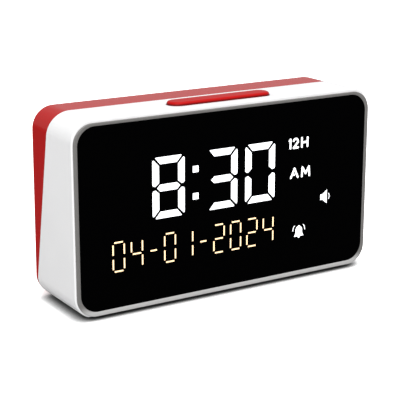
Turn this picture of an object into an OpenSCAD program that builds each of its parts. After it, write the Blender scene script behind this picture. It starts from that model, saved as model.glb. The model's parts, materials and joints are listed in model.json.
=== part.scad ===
// Bedside alarm clock with a lit segment display, a snooze bar and a wedge-shaped rear cover.
// The front faces -Y, the width runs along X, +Z is up and the feet stand on z = 0.
// Inside the modules y counts back from the front face and z counts up from the case's underside;
// place() moves both into the model's frame.

/* [Case] */
// Width of the case
case_w = 151; // [140:1:190]
// Height of the case without feet and snooze bar
case_h = 84.4; // [83:0.2:110]
// Depth of the case at its top edge
depth_top = 39.1; // [38:0.2:50]
// Depth of the case at its bottom edge
depth_bottom = 40.6; // [40:0.2:52]
// Radius of the four long corners
corner_r = 9.8; // [8:0.2:14]
// Wall thickness of both mouldings
wall = 2.2; // [1.6:0.1:2.8]
// Distance from the front face to the seam, at the top
seam_top = 22.2; // [21:0.2:27]
// Distance from the rear face's bottom edge to the seam, at the bottom
seam_rise = 1.3; // [0.8:0.1:2]
// Shadow gap between the white and the red moulding
seam_gap = 0.2; // [0.1:0.05:0.4]
// How far the red moulding's skin lies inside the white one
cover_inset = 0.2; // [0:0.05:0.6]
// Length of the red moulding's lip inside the white one
lip_len = 3; // [2:0.5:5]
// Thickness of that lip
lip_t = 1.4; // [1.2:0.1:2]
// Height of the rubber feet below the case
foot_gap = 0.9; // [0.8:0.1:3]
// Radius of a foot
foot_r = 4.5; // [3:0.5:7]

/* [Front panel] */
// Width of the bezel's face at the top and sides
bezel_w = 1.6; // [1:0.1:4]
// Width of the bezel's face at the bottom
bezel_band = 1.85; // [1:0.05:5]
// How far the bezel's outline lies inside the sleeve's
bezel_inset = 0.7; // [0.5:0.05:1.5]
// How far the bezel stands out in front of the sleeve
bezel_d = 1; // [0.8:0.1:3]
// Corner radius of the window
window_r = 8; // [5:0.2:11]
// How far the black window lies behind the bezel's face
window_sink = 0.3; // [0.1:0.05:0.6]
// Thickness of the window
window_t = 1; // [0.8:0.1:1.2]
// Width of the ledge that carries the window
ledge_w = 2.5; // [1.5:0.1:3]

/* [Display] */
// Height of a time digit
time_h = 26.5; // [20:0.1:28]
// Width of a time digit
time_w = 15.7; // [12:0.1:17]
// Stroke of a time digit
time_stroke = 3.25; // [2:0.05:3.8]
// Distance between two time digits
time_pitch = 19.8; // [18:0.1:20.5]
// Height of a date digit
date_h = 13.2; // [10:0.1:14.5]
// Width of a date digit
date_w = 5.9; // [5:0.1:6.8]
// Stroke of a date digit
date_stroke = 0.65; // [0.5:0.05:1.2]
// Distance between two date digits
date_pitch = 8.65; // [8:0.05:8.8]
// Depth of the reflector behind the window
reflector_d = 6; // [4:0.5:7]
// Thickness of the circuit boards
board_t = 1.6; // [1:0.1:2]

/* [Snooze bar] */
// Length of the snooze bar
snooze_len = 51; // [40:1:60]
// Width of the snooze bar
snooze_w = 9; // [7:0.5:10]
// Height of the bar above the case
snooze_proud = 1.5; // [1.3:0.1:2.5]
// Travel of the bar
snooze_travel = 1; // [0.5:0.1:1.2]
// Distance from the front face to the bar's middle
snooze_y = 10; // [10:0.5:12]

/* [Rear controls] */
// Radius of a button
button_r = 4; // [3:0.1:4.6]
// Distance between two buttons
button_pitch = 15; // [13:0.5:17]
// Distance from the case's top to the buttons
button_drop = 17.4; // [15:0.2:20]
// Height of a button above the rear face
button_proud = 0.9; // [0.8:0.1:1.2]
// Travel of a button
button_travel = 0.6; // [0.3:0.1:0.7]
// Travel of the alarm slide switch
slide_travel = 3; // [2:0.5:4]

/* [Speaker, batteries and socket] */
// Outer radius of the speaker
speaker_r = 16; // [12:0.5:17]
// Radius of a grille hole
grille_hole_r = 0.9; // [0.6:0.1:1.2]
// Diameter of a battery
cell_d = 10.5; // [9:0.1:11]
// Length of a battery
cell_len = 44.5; // [38:0.5:47]
// Thickness of the battery door
door_t = 1.8; // [1.4:0.1:2.2]

/* [Hidden] */
$fn = 48;

e = 0.01;          // overshoot of a cut past a face
far = 400;         // longer than any dimension of the clock
fit = 0.15;        // gap between parts that slot together
run = 0.3;         // gap between parts that move past each other
pin_run = 0.06;    // radial gap of a hinge pin

// Seam and rear face: both lean, so their y depends on the height
seam_bottom = depth_bottom - seam_rise;
function seam_y(z) = seam_bottom + (seam_top - seam_bottom) * z / case_h;
function back_y(z) = depth_bottom + (depth_top - depth_bottom) * z / case_h;
function inner_y(z) = back_y(z) - wall;

// Front stack, from the window to the back of the display board
window_y = window_sink + window_t;
reflector_y = window_y + 0.7;
board_y = reflector_y + reflector_d;
board_back = board_y + board_t;
spigot_end = bezel_d + 2.6;
toe_slope = 0.36;
foot_sink = 0.8;
foot_xs = [15 - case_w / 2, case_w / 2 - 15];
foot_ys = [bezel_d + 8, seam_bottom - 8];
band_in = case_w / 2 - 14.1;
reflector_w = 2 * (band_in - run);
board_w = reflector_w + 8.4;
bezel_lift = 0.95;
bezel_drop = 1.65;
bezel_head = 1.2;
time_bar = time_stroke - 0.25;
display_z = (case_h + bezel_lift + bezel_band - bezel_drop - bezel_head) / 2;
reflector_bottom = 8.5;

// Snooze mechanism, from the top wall down to its board
ceiling = case_h - wall;
flange_t = 1.2;
flange_over = 1.2;
flange_z = ceiling - run - flange_t;
snooze_spring_len = 4.7;
snooze_board_top = flange_z - snooze_spring_len;
snooze_board_z = snooze_board_top - board_t;
stem_r = 1.5;
stem_x = 0.36 * snooze_len;
switch_w = 6;
switch_h = 3.2;
plunger_r = 1.6;
plunger_h = 1.4;
boss_x = snooze_len / 2 + 6;
reflector_top = snooze_board_z - 2.8;
display_screw_x = band_in + 1.9;
display_boss_r = 2;
display_screw_zs = [reflector_bottom + 16, reflector_top - 16];

// Screws
small_r = 1;
small_len = 4.4;
small_head_r = 1.9;
small_head_h = 1.3;
case_screw_r = 1.25;
case_screw_len = 10;
case_head_r = 2.3;
case_head_h = 1.8;
thread_fit = 0.05;
case_boss_r = 3.6;
case_boss_x = case_w / 2 - wall - case_boss_r - 0.35;
case_boss_z = [14, case_h - 14.4];
post_floor = 2;
function boss_end(z) = seam_y(z) - 6;

// Display contents
time_z = display_z + 9.6;
date_z = display_z - 17.1;
minutes_x = 15.4;
time_gap = 1.1;
colon_x = -17.8;
colon_w = 2.85;
colon_step = 5.95;
date_left = -55.3;
dash_step = 8.03;
dash_len = 3.1;
date_gap = 0.6;
hour_space = time_pitch * 0.348;
time_xs = [for (i = [0 : 3]) minutes_x - (3 - i) * time_pitch - (i < 2 ? hour_space : 0)];
date_xs = [
    date_left, date_left + date_pitch,
    date_left + date_pitch + 2 * dash_step, date_left + 2 * (date_pitch + dash_step),
    for (i = [0 : 3]) date_left + (2 + i) * date_pitch + 4 * dash_step
];
dash_xs = [date_left + date_pitch + dash_step, date_left + 2 * date_pitch + 3 * dash_step];
mark_places = [[36.3, time_z + 10.9], [37.5, time_z - 2.7], [51.5, time_z - 16], [37.1, date_z - 3.9]];
led_w = 1.6;

// Rear controls
button_z = case_h - button_drop;
button_x0 = -8;
button_flange_r = button_r + 1;
button_flange_y = inner_y(button_z + button_flange_r) - run - 1;
button_stem = 0.6;
button_board_y = button_flange_y - button_stem - plunger_h - switch_h;
button_gap = 3;
post_r = 2.1;
slide_w = 5;
slide_h = 4;
slide_rim = 1.5;
slide_body_w = 9;
slide_body_h = 4.4;
slide_lever_w = 1.6;
button_board_h = 12;
function button_x(i) = button_x0 + (i - 2) * button_pitch;
post_left = button_x(0) - button_flange_r - run - post_r;
post_mid = button_x(4) + button_flange_r + run + post_r;
slide_x = post_mid + post_r + run + slide_w / 2 + slide_rim + button_gap;
post_right = slide_x + slide_travel + slide_w / 2 + slide_rim + run + post_r;
post_xs = [post_left, post_mid, post_right];
button_board_left = post_left - post_r - 1;
button_board_right = post_right + post_r + 1;

// Speaker
speaker_x = case_w / 2 - 29;
speaker_z = 33;
speaker_y = inner_y(speaker_z + speaker_r) - 1;
gasket_t = 0.6;
basket_y = speaker_y - gasket_t;
basket_flange_t = 1;
clamp_t = 1;
cone_r = speaker_r - 3.5;
magnet_r = speaker_r / 2;
clamp_ear_r = speaker_r + 3;
grille_step = 3.1;

// Batteries and their bay
cell_r = cell_d / 2;
cell_gap = 0.6;
contact_len = 4.6;
plate_t = 0.4;
touch = 0.02;
bay_wall = 2;
bay_len = cell_len + contact_len + 2 * plate_t + 2 * touch;
bay_h = 2 * cell_d + cell_gap + 2 * run;
bay_x = -case_w / 2 + 14.5 + bay_len / 2;
bay_bottom = 13.3;
bay_top = bay_bottom + bay_h;
bay_floor = back_y(bay_top) - door_t - run - cell_d - run;
cell_zs = [bay_bottom + run + cell_r, bay_top - run - cell_r];
cell_y = bay_floor + run + cell_r;
door_gap = 0.3;
hinge_r = door_t / 2 + 0.7;
hinge_z = bay_bottom + hinge_r + door_gap;
hinge_y = back_y(hinge_z) - hinge_r;
pin_r = 1;
pin_len = 1.5;

// Power socket and its board
socket_w = 8.9;
socket_h = 3.2;
socket_len = 7.4;
socket_x = 14;
socket_recess = 1.2;
power_board_w = 18;
power_board_z = 11.5;
socket_z = power_board_z + board_t + socket_h / 2;
power_board_back = inner_y(power_board_z) - 0.4;
power_board_front = power_board_back - 13;
power_screw_x = power_board_w / 2 - 3;

// Cables
ribbon_w = 10;
ribbon_t = 0.6;
ribbon_socket_d = 2.4;
ribbon_z0 = button_z - 10;
ribbon_z1 = button_z;
wire_r = 0.6;
wire_sides = 8;
wire_steps = 14;

// ---- Placing and extruding ----

module place() {
    translate([0, -depth_bottom / 2, foot_gap]) children();
}

module along_y(y0, y1) {
    translate([0, y1, 0]) rotate([90, 0, 0]) linear_extrude(y1 - y0) children();
}

module along_x(x0, x1) {
    translate([x0, 0, 0]) rotate([90, 0, 90]) linear_extrude(x1 - x0) children();
}

module rod_y(x, z, r, y0, y1) {
    translate([x, y1, z]) rotate([90, 0, 0]) cylinder(r = r, h = y1 - y0);
}

module rod_x(y, z, r, x0, x1) {
    translate([x0, y, z]) rotate([0, 90, 0]) cylinder(r = r, h = x1 - x0);
}

module tube_y(x, z, r_out, r_in, y0, y1) {
    difference() {
        rod_y(x, z, r_out, y0, y1);
        rod_y(x, z, r_in, y0 - e, y1 + e);
    }
}

// Rounded rectangle, its lower left corner at the origin
module round_rect(w, h, r) {
    translate([r, 0]) square([w - 2 * r, h]);
    translate([0, r]) square([w, h - 2 * r]);
    for (x = [r, w - r], y = [r, h - r]) translate([x, y]) circle(r);
}

// Outline of the case, set in by an equal margin all round
module case_outline(inset) {
    translate([inset - case_w / 2, inset])
        round_rect(case_w - 2 * inset, case_h - 2 * inset, corner_r - inset);
}

// Outline of the bezel: the sleeve shows more above it than beside it
module bezel_outline() {
    translate([bezel_inset - case_w / 2, bezel_lift])
        round_rect(case_w - 2 * bezel_inset, case_h - bezel_lift - bezel_drop, corner_r - 1);
}

// Outline of the window's pocket: the bezel's bottom band is wider than its other sides
module window_outline(inset) {
    side = bezel_inset + bezel_w + inset;
    bottom = bezel_lift + bezel_band + inset;
    top = bezel_drop + bezel_head + inset;
    translate([side - case_w / 2, bottom])
        round_rect(case_w - 2 * side, case_h - bottom - top, window_r - inset / 2);
}

module stadium(len, w) {
    square([len - w, w], center = true);
    for (s = [-1, 1]) translate([s * (len - w) / 2, 0]) circle(w / 2);
}

// Side profile between two leaning lines, given by their y at the case's bottom and top
module lean_profile(y0_bottom, y0_top, y1_bottom, y1_top) {
    over = 1 / case_h;
    polygon([
        [y0_bottom - (y0_top - y0_bottom) * over, -1], [y1_bottom - (y1_top - y1_bottom) * over, -1],
        [y1_top + (y1_top - y1_bottom) * over, case_h + 1], [y0_top + (y0_top - y0_bottom) * over,
            case_h + 1]
    ]);
}

// The case's block between two leaning planes
module lean_block(inset, y0_bottom, y0_top, y1_bottom, y1_top) {
    intersection() {
        along_y(-1, depth_bottom + 5) case_outline(inset);
        along_x(-far / 2, far / 2) lean_profile(y0_bottom, y0_top, y1_bottom, y1_top);
    }
}

module small_screw() {
    cylinder(r = small_r, h = small_len);
    translate([0, 0, -small_head_h]) difference() {
        cylinder(r = small_head_r, h = small_head_h);
        for (a = [0, 90]) rotate([0, 0, a]) translate([-1.2, -0.25, -e]) cube([2.4, 0.5, 0.7]);
    }
}

// A helical spring along +Z from the origin
function ring_point(r, wire, a, b, z) =
    [(r + wire * cos(b)) * cos(a), (r + wire * cos(b)) * sin(a), z + wire * sin(b)];
module helix(r, wire, length, turns, sides = 6, steps = 14) {
    n = turns * steps;
    rise = (length - 2 * wire) / n;
    points = [for (i = [0 : n], k = [0 : sides - 1])
        ring_point(r, wire, 360 * i / steps, 360 * k / sides, wire + i * rise)];
    walls = [for (i = [0 : n - 1], k = [0 : sides - 1])
        [i * sides + k, (i + 1) * sides + k, (i + 1) * sides + (k + 1) % sides,
            i * sides + (k + 1) % sides]];
    first = [for (k = [0 : sides - 1]) k];
    last = [for (k = [0 : sides - 1]) n * sides + sides - 1 - k];
    polyhedron(points, concat(walls, [first, last]));
}

// A wire that leaves its ends along Y, by out_p and out_q, and turns between them on one smooth curve
function bezier(p, a, b, q, t) =
    pow(1 - t, 3) * p + 3 * t * pow(1 - t, 2) * a + 3 * t * t * (1 - t) * b + pow(t, 3) * q;
function unit(v) = v / norm(v);
module wire(p, q, out_p, out_q) {
    points = [for (i = [0 : wire_steps]) bezier(p, p + [0, out_p, 0], q + [0, out_q, 0], q,
        i / wire_steps)];
    heading = [for (i = [0 : wire_steps])
        i == 0 ? [0, sign(out_p), 0] : i == wire_steps ? [0, -sign(out_q),
            0] : unit(points[i + 1] - points[i - 1])];
    rings = [for (i = [0 : wire_steps], k = [0 : wire_sides - 1])
        let (side = unit(cross(heading[i], [0.1, 0, 1])), up = cross(side, heading[i]),
            a = 360 * k / wire_sides)
        points[i] + wire_r * (cos(a) * side + sin(a) * up)];
    walls = [for (i = [0 : wire_steps - 1], k = [0 : wire_sides - 1])
        [i * wire_sides + k, i * wire_sides + (k + 1) % wire_sides,
            (i + 1) * wire_sides + (k + 1) % wire_sides, (i + 1) * wire_sides + k]];
    first = [for (k = [0 : wire_sides - 1]) wire_sides - 1 - k];
    last = [for (k = [0 : wire_sides - 1]) wire_steps * wire_sides + k];
    polyhedron(rings, concat(walls, [first, last]));
}

// ---- Display characters ----

// Segments in the order top, upper right, lower right, bottom, lower left, upper left, middle
lit = [
    [1, 1, 1, 1, 1, 1, 0], [0, 1, 1, 0, 0, 0, 0], [1, 1, 0, 1, 1, 0, 1], [1, 1, 1, 1, 0, 0, 1],
    [0, 1, 1, 0, 0, 1, 1], [1, 0, 1, 1, 0, 1, 1], [1, 0, 1, 1, 1, 1, 1], [1, 1, 1, 0, 0, 0, 0],
    [1, 1, 1, 1, 1, 1, 1], [1, 1, 1, 1, 0, 1, 1]
];

// The top segment of a mitred digit, with uprights s wide and bars t high
module mitred_top(w, h, s, t, gap) {
    a = gap * 0.9;
    polygon([
        [-w / 2 + a + 0.75, h / 2], [w / 2 - a - 0.75, h / 2], [w / 2 - a - 0.45, h / 2 - 0.25],
        [w / 2 - s - gap / 2, h / 2 - t], [-w / 2 + s + gap / 2, h / 2 - t], [-w / 2 + a + 0.45,
            h / 2 - 0.25]
    ]);
}

// The upper right segment of a mitred digit
module mitred_side(w, h, s, t, gap) {
    a = gap * 0.7;
    polygon([
        [w / 2, h / 2 - a - 0.9], [w / 2 - 0.25, h / 2 - a - 0.35], [w / 2 - 0.6, h / 2 - a - 0.25],
        [w / 2 - s, h / 2 - t - a], [w / 2 - s, t / 2 + a],
        [w / 2 - s * 0.45, a], [w / 2 - 0.35, a + 0.3], [w / 2, a + 0.9]
    ]);
}

module mitred_middle(w, s, t, gap) {
    tip = w / 2 - s * 0.45 - gap * 0.7;
    polygon([
        [-tip, 0], [-w / 2 + s + gap / 2, t / 2], [w / 2 - s - gap / 2, t / 2],
        [tip, 0], [w / 2 - s - gap / 2, -t / 2], [-w / 2 + s + gap / 2, -t / 2]
    ]);
}

module mitred_digit(on, w, h, s, t, gap) {
    if (on[0]) mitred_top(w, h, s, t, gap);
    if (on[1]) mitred_side(w, h, s, t, gap);
    if (on[2]) mirror([0, 1]) mitred_side(w, h, s, t, gap);
    if (on[3]) mirror([0, 1]) mitred_top(w, h, s, t, gap);
    if (on[4]) mirror([0, 1]) mirror([1, 0]) mitred_side(w, h, s, t, gap);
    if (on[5]) mirror([1, 0]) mitred_side(w, h, s, t, gap);
    if (on[6]) mitred_middle(w, s, t, gap);
}

module bar_digit(on, w, h, s, gap) {
    across = w - s - 2 * gap;
    upright = (h - s) / 2 - s - 2 * gap;
    for (k = [0, 3, 6]) if (on[k])
        translate([0, k == 0 ? (h - s) / 2 : k == 3 ? (s - h) / 2 : 0]) square([across, s], center = true);
    for (k = [1, 2, 4, 5]) if (on[k])
        translate([(k < 3 ? 1 : -1) * (w - s) / 2, (k == 1 || k == 5 ? 1 : -1) * (h - s) / 4])
            square([s, upright], center = true);
}

module time_figures(figures) {
    for (i = [0 : 3]) if (figures[i] >= 0)
        translate([time_xs[i], time_z]) 
            mitred_digit(lit[figures[i]], time_w, time_h, time_stroke, time_bar, time_gap);
    for (s = [-1, 1]) translate([colon_x, time_z + s * colon_step]) square(colon_w, center = true);
}

module date_figures(figures) {
    for (i = [0 : 7])
        translate([date_xs[i], date_z]) bar_digit(lit[figures[i]], date_w, date_h, date_stroke, date_gap);
    for (x = dash_xs) translate([x, date_z]) square([dash_len, date_stroke], center = true);
}

// A straight stroke between two points, with round ends
module stroke(p, q, t) {
    d = q - p;
    translate(p) rotate(atan2(d.y, d.x)) {
        translate([0, -t / 2]) square([norm(d), t]);
        circle(t / 2);
        translate([norm(d), 0]) circle(t / 2);
    }
}

// Hour mode mark: a one, a two and a capital letter, five millimetres high
module hour_mode_mark() {
    t = 0.95;
    stroke([-4.75, 0.6], [-4.75, 4.6], t);
    stroke([-5.4, 4], [-4.75, 4.6], t * 0.8);
    translate([-1.9, 3.45]) difference() {
        circle(1.65);
        circle(1.65 - t);
        translate([-3, -3]) square([3, 3]);
        translate([-3, -3]) square([6, 2.6]);
    }
    stroke([-0.75, 3], [-3, 0.6], t);
    stroke([-3, 0.6], [-0.6, 0.6], t);
    for (x = [1.5, 4.6]) stroke([x, 0.6], [x, 4.6], t);
    stroke([1.5, 2.6], [4.6, 2.6], t);
}

module morning_mark() {
    t = 0.95;
    stroke([-5.4, 0.6], [-3.5, 4.7], t);
    stroke([-1.6, 0.6], [-3.5, 4.7], t);
    stroke([-4.6, 1.9], [-3.45, 1.9], t * 0.9);
    stroke([0.6, 0.6], [0.9, 4.7], t);
    stroke([0.9, 4.7], [2.7, 1.8], t);
    stroke([2.7, 1.8], [4.5, 4.7], t);
    stroke([4.5, 4.7], [4.8, 0.6], t);
}

module loudspeaker_mark() {
    polygon([[-2.6, -1.35], [-1.4, -1.35], [1.1, -3.3], [1.1, 3.3], [-1.4, 1.35], [-2.6, 1.35]]);
    intersection() {
        translate([0.2, 0]) difference() {
            circle(2.4);
            circle(2.05);
        }
        translate([1.9, -1.4]) square([2, 2.8]);
    }
}

module bell_mark() {
    translate([0, 1]) circle(1.85);
    translate([-1.85, -1.2]) square([3.7, 2.2]);
    polygon([[-1.85, -0.4], [-2.65, -1.95], [2.65, -1.95], [1.85, -0.4]]);
    translate([0, -2.3]) square([0.95, 0.8], center = true);
    translate([0, 2.75]) circle(0.45);
    for (s = [-1, 1]) intersection() {
        translate([0, 1]) difference() {
            circle(3.5);
            circle(3.1);
        }
        translate([s * 2.9, 2]) square([1.6, 2.6], center = true);
    }
}

module status_marks() {
    translate(mark_places[0] - [0, 2.6]) hour_mode_mark();
    translate(mark_places[1] - [0, 2.6]) morning_mark();
    translate(mark_places[2]) loudspeaker_mark();
    translate(mark_places[3]) bell_mark();
}

// ---- Front ----

module front_housing() {
    boss_top = ceiling + e;
    color("white") place() difference() {
        union() {
            difference() {
                lean_block(0, bezel_d, bezel_d, seam_bottom, seam_top);
                along_y(-1, far / 2) case_outline(wall);
            }
            // Side bands that carry the display board
            for (s = [-1, 1]) intersection() {
                along_y(board_y - 2, board_y) translate([s > 0 ? band_in : -case_w / 2 + 1, 0])
                    square([case_w / 2 - 1 - band_in, reflector_top + 1]);
                along_y(board_y - 2 - e, board_y + e) case_outline(wall - e);
            }
            for (s = [-1, 1], z = display_screw_zs) 
                rod_y(s * display_screw_x, z, display_boss_r, spigot_end + fit, board_y - 1);
            // Bosses that take the case screws, with a rib to the side wall
            for (s = [-1, 1], z = case_boss_z) {
                rod_y(s * case_boss_x, z, case_boss_r, board_y - 1, boss_end(z));
                along_y(board_y - 1, boss_end(z))
                    translate([s > 0 ? case_boss_x : -case_w / 2 + wall - 0.2, z - 0.7])
                    square([case_w / 2 - wall + 0.2 - case_boss_x, 1.4]);
            }
            // Bosses that carry the snooze board
            for (s = [-1, 1]) translate([s * boss_x, snooze_y, snooze_board_top])
                cylinder(r = 2.4, h = boss_top - snooze_board_top);
        }
        for (s = [-1, 1], z = display_screw_zs)
            rod_y(s * display_screw_x, z, small_r + thread_fit, board_back - small_len - 0.3, board_y + e);
        for (s = [-1, 1], z = case_boss_z)
            rod_y(s * case_boss_x, z, case_screw_r + thread_fit, boss_end(z) - 9, boss_end(z) + e);
        for (s = [-1, 1]) translate([s * boss_x, snooze_y, snooze_board_top - e])
            cylinder(r = small_r + thread_fit, h = small_len - board_t + 0.6);
        translate([0, snooze_y, ceiling - 1]) linear_extrude(wall + 2)
            stadium(snooze_len + 2 * run, snooze_w + 2 * run);
        // The toe: the lower front edge is cut back under the bezel
        along_x(-case_w / 2 - 1, case_w / 2 + 1) polygon([
            [bezel_d - 1, -1], [bezel_d + (bezel_lift + 1) / toe_slope, -1], [bezel_d - 1,
                bezel_lift + toe_slope]
        ]);
        for (x = foot_xs, y = foot_ys) translate([x, y, -e]) cylinder(r = foot_r + fit, h = foot_sink + e);
    }
}

module bezel_ring() {
    color("dimgray") place() difference() {
        union() {
            along_y(0, bezel_d) bezel_outline();
            along_y(bezel_d - e, spigot_end) case_outline(wall + fit);
        }
        along_y(-1, window_y) window_outline(0);
        along_y(-1, spigot_end + 1) window_outline(ledge_w);
    }
}

module lit_windows() {
    time_figures([-1, 8, 3, 0]);
    date_figures([0, 4, 0, 1, 2, 0, 2, 4]);
    status_marks();
}

module display_window() {
    color([0.02, 0.02, 0.02]) place() along_y(window_sink, window_y) difference() {
        window_outline(fit / 2);
        lit_windows();
    }
}

module time_segments() {
    color([0.97, 0.98, 1]) place() along_y(window_sink, window_y) time_figures([-1, 8, 3, 0]);
}

module date_segments() {
    color([1, 0.93, 0.72]) place() along_y(window_sink, window_y) date_figures([0, 4, 0, 1, 2, 0, 2, 4]);
}

module status_icons() {
    color([0.97, 0.98, 1]) place() along_y(window_sink, window_y) status_marks();
}

module diffuser_sheet() {
    color([0.9, 0.9, 0.88]) place() along_y(window_y, window_y + 0.4) window_outline(ledge_w + run);
}

module reflector_frame() {
    color("whitesmoke") place() along_y(reflector_y + fit, board_y) difference() {
        translate([-reflector_w / 2, reflector_bottom])
            square([reflector_w, reflector_top - reflector_bottom]);
        time_figures([8, 8, 8, 8]);
        date_figures([8, 8, 8, 8, 8, 8, 8, 8]);
        for (p = mark_places) translate(p) circle(3.2);
    }
}

module display_board() {
    color("darkgreen") place() difference() {
        along_y(board_y, board_back) translate([-board_w / 2, reflector_bottom])
            square([board_w, reflector_top - reflector_bottom]);
        for (s = [-1, 1], z = display_screw_zs)
            rod_y(s * display_screw_x, z, small_r + fit, board_y - e, board_back + e);
    }
}

// One light source behind the middle of each time digit's segments, and one behind each date digit
module led_chips() {
    half_w = (time_w - time_stroke) / 2;
    half_h = (time_h - time_stroke) / 2;
    color("lightyellow") place() along_y(board_y - 0.8, board_y) {
        for (x = time_xs, p = [[0, half_h], [half_w, half_h / 2], [half_w, -half_h / 2], [0, -half_h],
            [-half_w, -half_h / 2], [-half_w, half_h / 2], [0, 0]])
            translate([x + p.x, time_z + p.y]) square(led_w, center = true);
        for (s = [-1, 1]) translate([colon_x, time_z + s * colon_step]) square(led_w, center = true);
        for (x = date_xs, s = [-1, 0, 1])
            translate([x, date_z + s * (date_h - date_stroke) / 2])
                square([led_w, date_stroke - 0.1], center = true);
        for (p = mark_places) translate(p) square(led_w, center = true);
    }
}

module clock_chip() {
    color([0.1, 0.1, 0.1]) place() {
        along_y(board_back + 0.1, board_back + 1.5) translate([-24, 26]) square([10, 10]);
        for (s = [-1, 1], i = [0 : 9]) translate([-19 + s * 5.5, board_back, 26.7 + i * 0.95]) {
            translate([-0.6, 0, -0.2]) cube([1.2, 0.5, 0.4]);
        }
    }
}

module quartz_crystal() {
    color("silver") place() translate([-4, board_back + 1.6, 28]) {
        cylinder(r = 1.5, h = 6.2);
        translate([0, 0, -0.6]) cylinder(r = 1.1, h = 0.6 + e);
        for (s = [-1, 1]) translate([s * 0.6 - 0.2, -1.6, -0.5]) cube([0.4, 1.6, 0.4]);
    }
}

module board_capacitors() {
    color("navy") place() for (x = [4, 11]) {
        rod_y(x, 44, 2.5, board_back, board_back + 6);
        rod_y(x, 44, 2.1, board_back + 6 - e, board_back + 6.2);
    }
}

module rubber_feet() {
    color([0.2, 0.2, 0.2]) place() for (x = foot_xs, y = foot_ys) translate([x, y, -foot_gap]) {
        cylinder(r1 = foot_r - 0.4, r2 = foot_r, h = 0.5);
        translate([0, 0, 0.5 - e]) cylinder(r = foot_r, h = foot_gap + foot_sink - 0.5 + e);
    }
}

// ---- Snooze bar ----

// A bar with round ends and a rounded upper edge, standing on z = 0
module pill(len, w, h, edge) {
    module profile() {
        translate([-w / 2, 0]) square([w, h - edge]);
        translate([-w / 2 + edge, 0]) square([w - 2 * edge, h]);
        for (s = [-1, 1]) translate([s * (w / 2 - edge), h - edge]) circle(edge);
    }
    translate([-(len - w) / 2, 0, 0]) rotate([90, 0, 90]) linear_extrude(len - w) profile();
    for (s = [-1, 1]) translate([s * (len - w) / 2, 0, 0]) rotate_extrude() intersection() {
        profile();
        square([w, 2 * h]);
    }
}

module snooze_bar() {
    color("crimson") place() translate([0, snooze_y, 0]) {
        translate([0, 0, flange_z]) pill(snooze_len, snooze_w, case_h + snooze_proud - flange_z, 1.3);
        translate([0, 0, flange_z]) linear_extrude(flange_t)
            stadium(snooze_len + 2 * flange_over, snooze_w + 2 * flange_over);
        for (s = [-1, 1]) translate([s * stem_x, 0, snooze_board_z - 0.8])
            cylinder(r = stem_r, h = flange_z - snooze_board_z + 0.8 + e);
        translate([0, 0, snooze_board_top + switch_h + plunger_h])
            cylinder(r = 2, h = flange_z - snooze_board_top - switch_h - plunger_h + e);
    }
}

module snooze_springs() {
    color("silver") place() for (s = [-1, 1])
        translate([s * stem_x, snooze_y, snooze_board_top + 0.02])
            helix(stem_r + 0.7, 0.25, snooze_spring_len - 0.04, 5);
}

module snooze_board() {
    color("darkgreen") place() difference() {
        translate([0, snooze_y, snooze_board_z]) linear_extrude(board_t)
            stadium(2 * boss_x + 8, snooze_w + 2 * flange_over);
        for (s = [-1, 1]) {
            translate([s * stem_x, snooze_y, snooze_board_z - 1])
                cylinder(r = stem_r + run, h = board_t + 2);
            translate([s * boss_x, snooze_y, snooze_board_z - 1])
                cylinder(r = small_r + fit, h = board_t + 2);
        }
    }
}

// A tact switch standing on z = 0 with the bore that its plunger slides in
module tact_switch() {
    difference() {
        union() {
            translate([-switch_w / 2, -switch_w / 2, 0]) cube([switch_w, switch_w, switch_h - 0.3]);
            cylinder(r = 2.5, h = switch_h);
        }
        translate([0, 0, 1]) cylinder(r = plunger_r + run, h = switch_h);
    }
}

module tact_plunger() {
    translate([0, 0, 2.2]) cylinder(r = plunger_r, h = switch_h + plunger_h - 2.2);
}

module snooze_switch() {
    color([0.15, 0.15, 0.15]) place() translate([0, snooze_y, snooze_board_top]) tact_switch();
}

module snooze_plunger() {
    color("ivory") place() translate([0, snooze_y, snooze_board_top]) tact_plunger();
}

// ---- Rear cover ----

module grille_holes() {
    reach = cone_r - 1;
    rows = floor(reach / (grille_step * 0.866));
    for (row = [-rows : rows], col = [-8 : 8]) {
        x = (col + (row % 2 == 0 ? 0 : 0.5)) * grille_step;
        z = row * grille_step * 0.866;
        if (norm([x, z]) < reach)
            rod_y(speaker_x + x, speaker_z + z, grille_hole_r, speaker_y - 2, depth_bottom + 1);
    }
}

// The door's opening in the rear face
module door_opening(grow) {
    translate([bay_x - bay_len / 2 - grow, bay_bottom - grow])
        square([bay_len + 2 * grow, bay_h + 2 * grow]);
}

module rear_shell() {
    tub = wall + fit;
    difference() {
        union() {
            lean_block(cover_inset, seam_bottom + seam_gap, seam_top + seam_gap, depth_bottom, depth_top);
            lean_block(tub, seam_bottom - lip_len, seam_top - lip_len, depth_bottom, depth_top);
        }
        lean_block(tub + lip_t, -5, -5, depth_bottom - wall, depth_top - wall);
    }
}

module battery_bay() {
    intersection() {
        along_y(bay_floor - bay_wall, depth_bottom) door_opening(bay_wall);
        lean_block(cover_inset, -5, -5, depth_bottom - wall / 2, depth_top - wall / 2);
    }
}

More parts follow.
